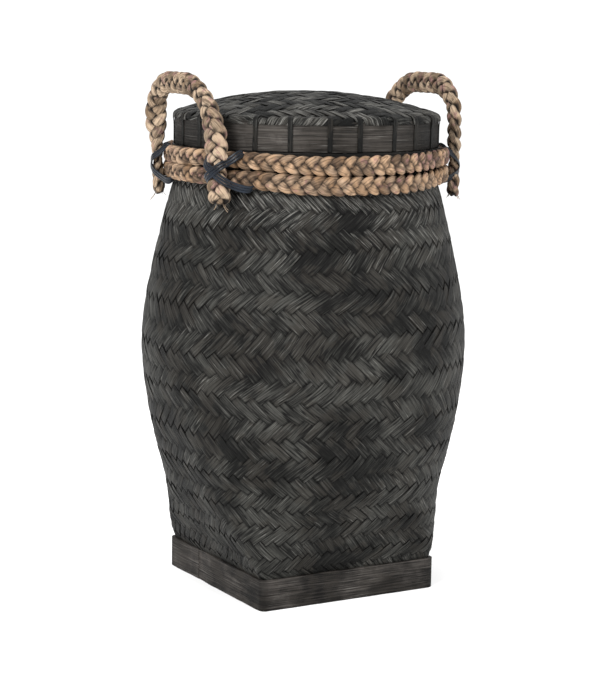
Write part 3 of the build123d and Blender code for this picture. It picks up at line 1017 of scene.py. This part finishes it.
class BASKET_OT_slats(bpy.types.Operator):
    """Bend the slats: foot, neck hoop, collar, lid hoops, and the two slats under the floor"""

    bl_idname = "basket.slats"
    bl_label = "Bend Slats"

    def execute(self, context):
        self.bend_foot()
        # Painted shade darkens the whole neck hoop.
        self.bend_hoop("neck_hoop", 3.0 * MM, 100, "basket", painted_lightness=0.15)
        self.bend_hoop("mouth_collar", 3.0 * MM, 60, "basket")
        # Painted light on the lid hoop: a painted highlight round one place, painted shade over the rest.
        wear_and_painted_light = self.lid_painted_light()
        self.bend_hoop(
            "lid_hoop", 2.0 * MM, LID_HOOP_START, "lid", inset=HOOP_INSET, tone=1.45, painted_lightness=wear_and_painted_light
        )
        self.bend_hoop("lid_inner_hoop", 3.4 * MM, 40, "lid")
        self.lay_brace("floor_brace_upper", math.pi / 4)
        self.lay_brace("floor_brace_lower", -math.pi / 4)
        return {"FINISHED"}

    def lid_painted_light(self):
        """Painted lightness along the lid hoop: a painted highlight in a bell about its brightest place, over
        painted shade down to a least value elsewhere.
        """
        start = math.radians(LID_HOOP_START - LID_HIGHLIGHT_PLACE)
        bearing = np.linspace(0, TURN, HOOP_POINTS)[:, None] + start
        least = 0.165 - 0.085 * np.sin(bearing)
        reach = 0.28 - 0.08 * np.sin(bearing)
        return least + (1 - least) * bell(1 - np.cos(bearing), reach)

    def finish(self, name, shell, body):
        """Adds one slat in the place of its CAD node."""
        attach(add_piece(f"{name}_slat", [shell], "bamboo_slat", [name]), body)

    def bend_hoop(self, node, slat, start_degrees, body, inset=0.0, tone=0.5, painted_lightness=1.0):
        """One round hoop: a flat strap whose ends lap, inset from the CAD face."""
        low, high = corner_box(node)
        out, middle, shift = hoop_path(high[0] - inset, slat, math.radians(start_degrees))
        tall = (high[2] - low[2]) / 2
        path = middle + out * shift[:, None] + np.array([0, 0, low[2] + tall])
        thick = lap_thickness(slat, lap_shift(np.linspace(0, 1, HOOP_POINTS), slat, HOOP_LAP_SHARE))
        wave = 0.12 * MM * np.sin(np.linspace(0, 9 * TURN, HOOP_POINTS))
        self.finish(node, strap(path, out, tall + wave, thick, 0.5 * MM, tone, painted_lightness), body)

    def bend_foot(self):
        """The square foot: a strap bent at four corners, its ends lapping on the left side."""
        high = corner_box("base_hoop")[1]
        slat = 4.0 * MM
        half = high[0] - slat / 2
        flat = half - FOOT_BEND
        girth = 8 * flat + TURN * FOOT_BEND
        lap = FOOT_LAP / girth
        start = 0.5 - FOOT_LAP_PLACE / girth
        share = start + np.linspace(0, 1 + lap, FOOT_POINTS)
        x, y = rounded_square(np.mod(share, 1), half, flat)
        ahead = np.stack(rounded_square(np.mod(share + 1e-5, 1), half, flat), axis=-1)
        behind = np.stack(rounded_square(np.mod(share - 1e-5, 1), half, flat), axis=-1)
        along = unit(ahead - behind)
        out = np.stack([along[:, 1], -along[:, 0], np.zeros(FOOT_POINTS)], axis=-1)
        shift = lap_shift(np.linspace(0, 1, FOOT_POINTS), slat, lap)
        tall = high[2] / 2
        fast, slow = (np.sin(np.linspace(0, waves * TURN, FOOT_POINTS)) for waves in (23, 5))
        ripple = 0.18 * MM * fast * slow
        path = np.stack([x, y, np.full(FOOT_POINTS, tall)], axis=-1) + out * (shift + ripple)[:, None]
        corner = np.hypot(half - np.abs(x), half - np.abs(y))
        # The foot is darker overall, and darkest at its four corners.
        wear_and_painted_light = 0.8 - 0.4 * bell(corner, 7 * MM)[:, None]
        shell = strap(path, out, tall, lap_thickness(slat, shift), 0.6 * MM, 0.5, wear_and_painted_light)
        self.finish("base_hoop", shell, "basket")

    def lay_brace(self, node, angle):
        """One straight slat under the floor, its ends drawn in to fit the corners of the foot."""
        low, high = corner_box(node)
        reach = math.sqrt(2) * high[0] - BRACE_GAP
        run = np.linspace(-reach, reach, 60)
        width = np.minimum(BRACE_WIDE, np.maximum(reach - np.abs(run), 0) + BRACE_TIP)
        zero = np.zeros_like(run)
        path = turned(np.stack([run, zero, zero + (low[2] + high[2]) / 2], axis=-1), angle)
        out = np.broadcast_to([0.0, 0.0, 1.0], path.shape)
        self.finish(node, strap(path, out, width, (high[2] - low[2]) / 2, 0.5 * MM, tone=0.4), "basket")


class BASKET_OT_rings(bpy.types.Operator):
    """Braid the two rings of rope round the neck"""

    bl_idname = "basket.rings"
    bl_label = "Braid Rings"

    def execute(self, context):
        sizes = context.scene.basket.rope
        hoop = corner_box("neck_hoop")[1][0]
        strand = (sizes.ring_swing, sizes.ring_dip, sizes.ring_wide, sizes.ring_deep)
        turn = np.linspace(0, TURN, sizes.ring_turns * RING_STEPS, endpoint=False)
        out = np.stack([np.cos(turn), np.sin(turn), 0 * turn], axis=-1)
        sagging = np.cos(turn - sizes.sag_place)
        slack = bell(sagging - 1, 0.2) + 0.7 * bell(sagging + 1, 0.2)
        pressed = bell(np.abs(np.cos(turn)) - math.cos(sizes.leg_angle), 0.06)
        for ring, node in enumerate(("neck_rope_upper", "neck_rope_lower")):
            low, high = corner_box(node)
            middle = (high[0] + hoop) / 2 + 0.5 * MM * np.sin(5 * turn + ring)
            middle = middle + 0.6 * MM - sizes.press / 2 * pressed
            level = (low[2] + high[2]) / 2 + 0.5 * MM * np.sin(4 * turn + 2 * ring)
            height = level - sizes.sag * (0.7 + 0.45 * ring) * slack
            path = out * middle[:, None] + np.array([0, 0, 1]) * height[:, None]
            phase = sizes.ring_turns * turn + 1.1 * ring
            scale = 1.02 + 0.09 * slack + 0.04 * np.sin(3 * turn + 2 * ring) - 0.12 * pressed
            shells = braid(path, out, phase, strand, scale, ring=True, seed=ring)
            piece = add_piece(f"{node}_braid", shells, "neck_rope", [node])
            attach(piece, "basket")
        return {"FINISHED"}


def fold_place(joint_name):
    """The fold axis' place in the record."""
    joints = frame["record"]["behaviour"]["joints"]
    return np.array(next(joint["pos_m"] for joint in joints if joint["name"] == joint_name))


def handle_path(sizes, lay, lean):
    """The right handle's middle line, outward direction, heights, distance from the nearer end, and run.

    In the handle's plane the heading is steady up the leg, turns evenly through a tight first shoulder, is
    level along the top, turns through a wider second shoulder, and is steady down the other leg. The braid's
    face turns with the neck at the legs, and the first leg's face turns back by lay above the fold.
    """
    hinge = fold_place("right_handle_fold") - np.array([sizes.press, 0, 0])
    loop_high = corner_box("right_handle")[1]
    tail_low, tail_high = corner_box("right_rear_tail")
    half_width = sizes.handle_width / 2
    cos_lean, sin_lean = math.cos(lean), math.sin(lean)
    top = (loop_high[2] - half_width - hinge[2]) / cos_lean
    bottom = (tail_low[2] - hinge[2]) / cos_lean + 0.3 * MM
    foot = tail_high[1] - half_width
    crown = foot + (loop_high[1] - half_width - foot) * (top - bottom) / -bottom
    leg = math.hypot(foot - crown, top - bottom)
    climb = math.atan2(top - bottom, foot - crown)
    second = crown - sizes.arch_flat / 2
    first = sizes.first_shoulder * second
    arc = climb / math.tan(climb / 2)
    level_run = 2 * crown - first - second
    marks = np.cumsum([0, leg - first, first * arc, level_run, second * arc, leg - second])
    run = np.linspace(0, marks[-1], HANDLE_POINTS)
    heading = np.interp(run, marks, [climb, climb, 0, 0, -climb, -climb])
    step = run[1]
    between = (heading[1:] + heading[:-1]) / 2
    along = running(np.cos(between) * step) - foot
    up = running(np.sin(between) * step) + bottom
    upward = np.array([sin_lean, 0, cos_lean])
    level = np.array([0.0, 1.0, 0.0])
    path = hinge + along[:, None] * level + up[:, None] * upward
    plane_out = np.array([cos_lean, 0, -sin_lean])
    sideways = -np.sin(heading)[:, None] * level + np.cos(heading)[:, None] * upward
    twist = sizes.leg_angle * (1 - ease(*FACE_TURN, up))
    twist = twist - lay * (along < 0) * ease(*LAY_FROM, up) * (1 - ease(*LAY_TO, up))
    out = np.cos(twist)[:, None] * plane_out + np.sin(twist)[:, None] * sideways
    return path, out, up, np.minimum(run, marks[-1] - run), run


def loose_fibres(tip, count, seed):
    """Thin fibres at a tail's tip: each hangs down and curls away by the square of its run."""
    share = np.linspace(0, 1, 9)[:, None]
    shells = []
    for index in range(count):
        turn = TURN * chance(index, seed, 1)
        long = (6 + 9 * chance(index, seed, 2)) * MM
        away = np.array([math.cos(turn), math.sin(turn), 0.0])
        drop = np.array([0.0, 0.0, 1.0]) * (6 * MM - long * share)
        path = tip + away * (3 * MM + 0.5 * long * share**2) + drop
        out = np.broadcast_to(away, path.shape)
        shells.append(strap(path, out, 0.35 * MM, 0.22 * MM, 0.08 * MM, tone=0.6))
    return shells


class BASKET_OT_handles(bpy.types.Operator):
    """Braid the two handles, each from tail to tail, about the place of its fold"""

    bl_idname = "basket.handles"
    bl_label = "Braid Handles"

    def execute(self, context):
        sizes = context.scene.basket.rope
        lashing = corner_box("neck_rope_lower")[1][2] - fold_place("right_handle_fold")[2]
        strand = (sizes.handle_swing, sizes.handle_dip, sizes.handle_wide, sizes.handle_deep)
        # Each handle's side, turn about Z, lay, lean, the phase its braid starts at, and its seed
        kinds = (
            ("right", 0.0, 0.0, sizes.right_lean, 0.4, 3),
            ("left", math.pi, sizes.rear_twist, sizes.handle_lean, 1.9, 4),
        )
        for side, angle, lay, lean, start, seed in kinds:
            path, out, up, end, run = handle_path(sizes, lay, lean)
            pinch = 1 - 0.3 * bell(up - lashing, 9 * MM) - 0.15 * ease(5 * MM, 50 * MM, up)
            taper = np.sqrt(1 - (1 - np.clip(end / (9 * MM), 0.03, 1)) ** 2)
            phase = TURN * run / sizes.handle_pitch + start
            place, face = turned(path, angle), turned(out, angle)
            shells = braid(place, face, phase, strand, pinch, taper=taper, seed=seed)
            shells += loose_fibres(place[0], 6, seed) + loose_fibres(place[-1], 6, seed + 2)
            nodes = [f"{side}_handle", f"{side}_front_tail", f"{side}_rear_tail"]
            piece = add_piece(f"{side}_handle_braid", shells, "handle_rope", nodes)
            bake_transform(piece)
        return {"FINISHED"}


# Middle lines of the tie bands, in millimetres: right of the leg, above its crossing, out from the rope
TIE_OVER = (
    (25, 11, -10), (26, 17, -8), (25, 20, -4), (21.5, 17, 0.8), (17, 12.6, 3.8),
    (12.5, 9.2, 8.4), (8, 5.8, 12.9), (0, 0, 13.7), (-8, -5.6, 12.9), (-13, -9.5, 8.2),
    (-15.5, -12.5, 2.6), (-17, -15.5, -4), (-17, -15, -10),
)
TIE_UNDER = (
    (-19, 15, -10), (-18, 18.5, -4), (-15.5, 14.5, 2), (-13, 9.5, 7.8), (-8, 5.6, 12.0),
    (0, 0, 12.6), (9, -6.3, 12.6), (14, -10, 9.4), (18.5, -13.2, 4.8), (25, -15.8, 0.6),
    (32, -17.6, -2.5), (37, -17.2, -6.5), (39, -13, -10),
)


class BASKET_OT_ties(bpy.types.Operator):
    """Tie each handle leg to the rings with two crossed bands of three strips"""

    bl_idname = "basket.ties"
    bl_label = "Tie Legs"

    def execute(self, context):
        sizes = context.scene.basket.rope
        angle = sizes.leg_angle
        legs = (
            ("right_front", -angle),
            ("right_rear", angle),
            ("left_rear", math.pi - angle),
            ("left_front", math.pi + angle),
        )
        bands = [(slant, place) for slant in (1, -1) for place in (-1, 0, 1)]
        for seed, (leg, turn) in enumerate(legs):
            shells = [self.strip(sizes, slant, place, turn, seed) for slant, place in bands]
            piece = add_piece(f"{leg}_tie", shells, "tie_strip", [f"{leg}_lashing"])
            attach(piece, "basket")
        return {"FINISHED"}

    def strip(self, sizes, slant, place, turn, seed):
        """One strip: a smooth path over the leg and in behind the rings, in the axes of the tables above."""
        rope = corner_box("neck_rope_upper")[1][0]
        middle = corner_box("neck_rope_lower")[1][2] - 2.5 * MM
        path = MM * np.array(TIE_OVER if slant > 0 else TIE_UNDER)
        shift = place * (sizes.tie_width + 0.35 * MM)
        path[:, 0] += -TIE_SIDE * slant * shift + (chance(seed, slant + 2) - 0.5) * 2 * MM
        path[:, 1] += TIE_UP * shift
        path[:, 2] += (chance(seed, slant + 2, place + 2) - 0.3) * 0.5 * MM
        sideways, up, outwards = smooth_path(path, TIE_POINTS).T
        local = np.stack([outwards + rope, sideways, up + middle], axis=-1)
        heading = path_headings(local)
        flat = unit(np.array([0.0, -TIE_SIDE * slant, TIE_UP]))
        outward = np.sign(np.cross(flat, heading[TIE_POINTS // 2])[0])
        face = unit(np.cross(np.broadcast_to(flat, local.shape), heading) * outward)
        tone = chance(seed, slant + 4, place + 3)
        half_width, half_thick = sizes.tie_width / 2, sizes.tie_thickness / 2
        return strap(turned(local, turn), turned(face, turn), half_width, half_thick, 0.5 * MM, tone=tone)


class BASKET_OT_bindings(bpy.types.Operator):
    """Bind the lid's edge to its hoop with thin strips"""

    bl_idname = "basket.bindings"
    bl_label = "Bind Lid"

    def execute(self, context):
        sizes = context.scene.basket.rope
        low, high = corner_box("lid_hoop")
        form = DomeForm(context.scene.basket.weave)
        reach = form.reach[-1] - np.linspace(0, 11, 14) * MM
        across, level = form.profile(reach, form.middle + 0.3 * MM)
        over = np.stack([across, 0 * reach, level], axis=-1)
        face = high[0] - HOOP_INSET + sizes.binding_thickness / 2 + 0.15 * MM
        foot = np.array([
            [face - 2.4 * MM, 0, low[2] - 0.35 * MM],
            [face, 0, low[2] - 0.35 * MM],
            [face, 0, low[2] + 2 * MM],
            [face, 0, over[0, 2] - 5 * MM],
        ])
        path = smooth_path(np.concatenate([foot, over]), 44)
        heading = path_headings(path)
        out = np.stack([heading[:, 2], 0 * heading[:, 2], -heading[:, 0]], axis=-1)
        thick = sizes.binding_thickness / 2
        shells = []
        for index in range(sizes.binding_count):
            sway = (chance(index, 1) - 0.5) * 0.012
            turn = TURN * (index + 0.5 + 0.3 * (chance(index, 2) - 0.5)) / sizes.binding_count
            lean = turn + sway * (path[:, 2] - high[2]) / (high[2] - low[2])
            width = sizes.binding_width / 2 * (0.85 + 0.3 * chance(index, 4))
            tone = chance(index, 9) * 0.5
            shells.append(strap(turned(path, lean), turned(out, lean), width, thick, 0.25 * MM, tone=tone))
        piece = add_piece("lid_binding_strips", shells, "binding_strip", ["lid_bindings"])
        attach(piece, "lid")
        return {"FINISHED"}


class BASKET_OT_stage(bpy.types.Operator):
    """Lay the pale floor, hang the soft lights and place the camera"""

    bl_idname = "basket.stage"
    bl_label = "Set Stage"

    def execute(self, context):
        settings = context.scene.basket.stage
        self.lay_floor()
        self.light_world(context.scene, settings)
        self.hang_light("key_light", (-2.4, -0.9, 1.8), 1.5, settings.key)
        self.hang_light("fill_light", (1.4, -2.1, 1.5), 1.5, settings.fill)
        self.hang_light("top_light", (0.0, 0.2, 2.8), 1.8, settings.top)
        self.place_camera(context.scene, settings)
        context.scene.view_settings.view_transform = "Standard"
        return {"FINISHED"}

    def lay_floor(self):
        """A wide flat floor: a square grid just under the foot."""
        lines = FLOOR_CELLS + 1
        side = np.linspace(-FLOOR_HALF, FLOOR_HALF, lines)
        x, y = np.meshgrid(side, side, indexing="ij")
        points = np.stack([x, y, np.full_like(x, -FLOOR_DEPTH)], axis=-1).reshape(-1, 3)
        row, col = np.meshgrid(np.arange(FLOOR_CELLS), np.arange(FLOOR_CELLS), indexing="ij")
        first = row * lines + col
        faces = np.stack([first, first + lines, first + lines + 1, first + 1], axis=-1)
        mesh = bpy.data.meshes.new("floor")
        mesh.from_pydata(points.tolist(), [], faces.reshape(-1, 4).tolist())
        floor = bpy.data.objects.new("floor", mesh)
        bpy.context.scene.collection.objects.link(floor)
        mesh.materials.append(finish_of("studio_floor"))

    def light_world(self, scene, settings):
        """Even white light from all round."""
        scene.world = bpy.data.worlds.new("studio")
        scene.world.use_nodes = True
        background = scene.world.node_tree.nodes["Background"]
        background.inputs["Color"].default_value = (1.0, 1.0, 1.0, 1.0)
        background.inputs["Strength"].default_value = settings.world

    def hang_light(self, name, place, size, strength):
        """A large soft lamp that looks at the middle of the basket."""
        lamp = bpy.data.lights.new(name, "AREA")
        lamp.shape = "DISK"
        lamp.size = size
        lamp.energy = strength
        holder = bpy.data.objects.new(name, lamp)
        bpy.context.scene.collection.objects.link(holder)
        back = unit(np.array(place) - np.array([0, 0, LIGHT_AIM]))
        side = unit(np.cross([0, 0, 1.0], back))
        self.stand(holder, np.stack([side, np.cross(back, side), back]), place)

    def stand(self, holder, axes, place):
        """Puts an object at a place with its own axes, right, up and back, along these rows."""
        matrix = np.eye(4)
        matrix[:3, :3] = np.transpose(axes)
        matrix[:3, 3] = place
        holder.matrix_world = Matrix(matrix.tolist())

    def place_camera(self, scene, settings):
        """The camera fitted to the photograph: on a sphere round its target, rolled about its view."""
        turn, high = settings.azimuth, settings.elevation
        level = math.cos(high)
        back = np.array([math.sin(turn) * level, -math.cos(turn) * level, math.sin(high)])
        right = np.array([math.cos(turn), math.sin(turn), 0])
        up = np.cross(back, right)
        target = settings.target_side * right + np.array([0, 0, settings.target_height])
        camera = bpy.data.cameras.new("camera")
        camera.sensor_width = SENSOR
        camera.lens = CAMERA_FOCUS / PHOTO_LONG_SIDE * SENSOR
        holder = bpy.data.objects.new("camera", camera)
        scene.collection.objects.link(holder)
        rolled = right * math.cos(settings.roll) + up * math.sin(settings.roll)
        axes = np.stack([rolled, np.cross(back, rolled), back])
        self.stand(holder, axes, target + settings.distance * back)
        scene.camera = holder


STEPS = (
    BASKET_OT_wall,
    BASKET_OT_panels,
    BASKET_OT_slats,
    BASKET_OT_rings,
    BASKET_OT_handles,
    BASKET_OT_ties,
    BASKET_OT_bindings,
    BASKET_OT_stage,
)


class VIEW3D_PT_basket(bpy.types.Panel):
    """The basket's steps, in order"""

    bl_label = "Bamboo Basket"
    bl_idname = "VIEW3D_PT_basket"
    bl_space_type = "VIEW_3D"
    bl_region_type = "UI"
    bl_category = "Basket"

    def draw(self, context):
        for step in STEPS:
            self.layout.operator(step.bl_idname)


CLASSES = (WeaveSizes, RopeSizes, BasketColours, StageSizes, BasketSettings, *STEPS, VIEW3D_PT_basket)


def register():
    """Registers the classes and the scene's settings."""
    for item in CLASSES:
        bpy.utils.register_class(item)
    bpy.types.Scene.basket = bpy.props.PointerProperty(type=BasketSettings)


def unregister():
    """Takes the settings and classes away again."""
    del bpy.types.Scene.basket
    for item in reversed(CLASSES):
        bpy.utils.unregister_class(item)


def main():
    register()
    bpy.ops.basket.wall()
    bpy.ops.basket.panels()
    bpy.ops.basket.slats()
    bpy.ops.basket.rings()
    bpy.ops.basket.handles()
    bpy.ops.basket.ties()
    bpy.ops.basket.bindings()
    bpy.ops.basket.stage()


if __name__ == "__main__":
    main()
